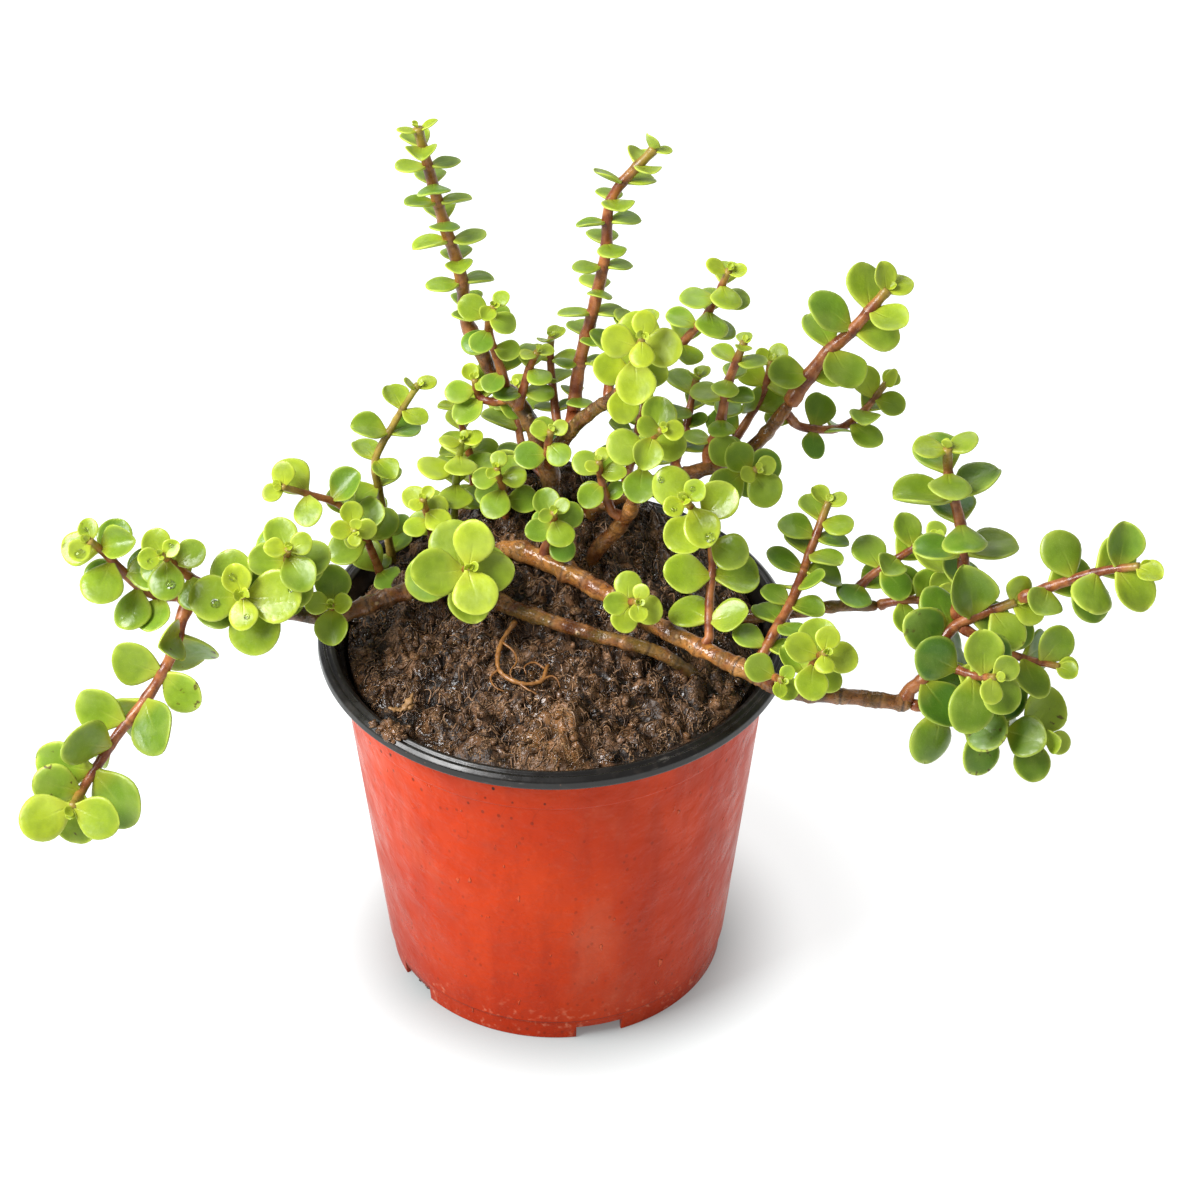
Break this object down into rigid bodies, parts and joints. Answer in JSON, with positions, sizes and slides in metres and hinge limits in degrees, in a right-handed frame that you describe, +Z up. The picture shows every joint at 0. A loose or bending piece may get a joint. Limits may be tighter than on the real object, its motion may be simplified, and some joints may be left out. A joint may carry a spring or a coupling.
{
  "type": "potted jade plant",
  "caption": "Small-leaved jade plant with woody trailing stems and round opposite leaves, rooted in soil in a round tapered plastic nursery pot with a rolled rim.",
  "frame": {"origin": "centre of the flat underside of the pot", "axes": "+Z up along the pot's axis; +X to the right as seen in the picture, along the widest spread of the plant; -Y towards the picture's camera"},
  "size_m": [0.3478, 0.15, 0.2863],
  "materials": {
    "red_plastic": "orange-red moulded plastic, slightly scuffed",
    "black_plastic": "black moulded plastic with a soft shine",
    "soil": null,
    "bark": "smooth reddish-brown succulent bark with ring scars",
    "root": "thin tan root",
    "foliage": null
  },
  "bodies": {
    "root": {"pot_outer_layer": "red_plastic", "pot_inner_layer": "black_plastic", "soil": "soil", "stem_trunk": "bark", "stem_back_right": "bark", "stem_centre": "bark", "stem_right": "bark", "stem_left": "bark", "stem_back_low": "bark", "root_loop": "root", "shoot_tall_left": "foliage", "shoot_left_side": "foliage", "shoot_fork_a": "foliage", "shoot_fork_b": "foliage", "shoot_tall_right": "foliage", "shoot_pale_rosette": "foliage", "shoot_top": "foliage", "shoot_scarred": "foliage", "shoot_stout": "foliage", "shoot_upper_right": "foliage", "shoot_back_right": "foliage", "shoot_back_front": "foliage", "shoot_right": "foliage", "shoot_rim_right": "foliage", "shoot_right_foot": "foliage", "shoot_wet_rosette": "foliage", "shoot_centre_crown": "foliage", "shoot_centre_left": "foliage", "shoot_trunk_front": "foliage", "shoot_centre_low": "foliage", "shoot_front_rosette": "foliage", "shoot_left_upright": "foliage", "shoot_left_back": "foliage", "shoot_trunk_left": "foliage", "shoot_left_tuft": "foliage", "shoot_left_inner": "foliage", "shoot_left_mid": "foliage", "shoot_left_low": "foliage", "shoot_left_small": "foliage", "shoot_rim_left": "foliage", "shoot_left_wood": "foliage", "shoot_left_rosette": "foliage", "shoot_left_outer": "foliage", "shoot_left_end": "foliage", "shoot_trailing": "foliage", "shoot_right_low": "foliage", "shoot_right_arm": "foliage", "shoot_right_front": "foliage", "shoot_right_side": "foliage", "shoot_far_right": "foliage", "shoot_right_upright": "foliage", "shoot_right_mid": "foliage", "shoot_low_tip": "foliage", "shoot_centre_small": "foliage", "shoot_back_upper": "foliage", "shoot_back_middle": "foliage", "shoot_behind_left": "foliage", "shoot_behind_right": "foliage"}
  },
  "joints": []
}
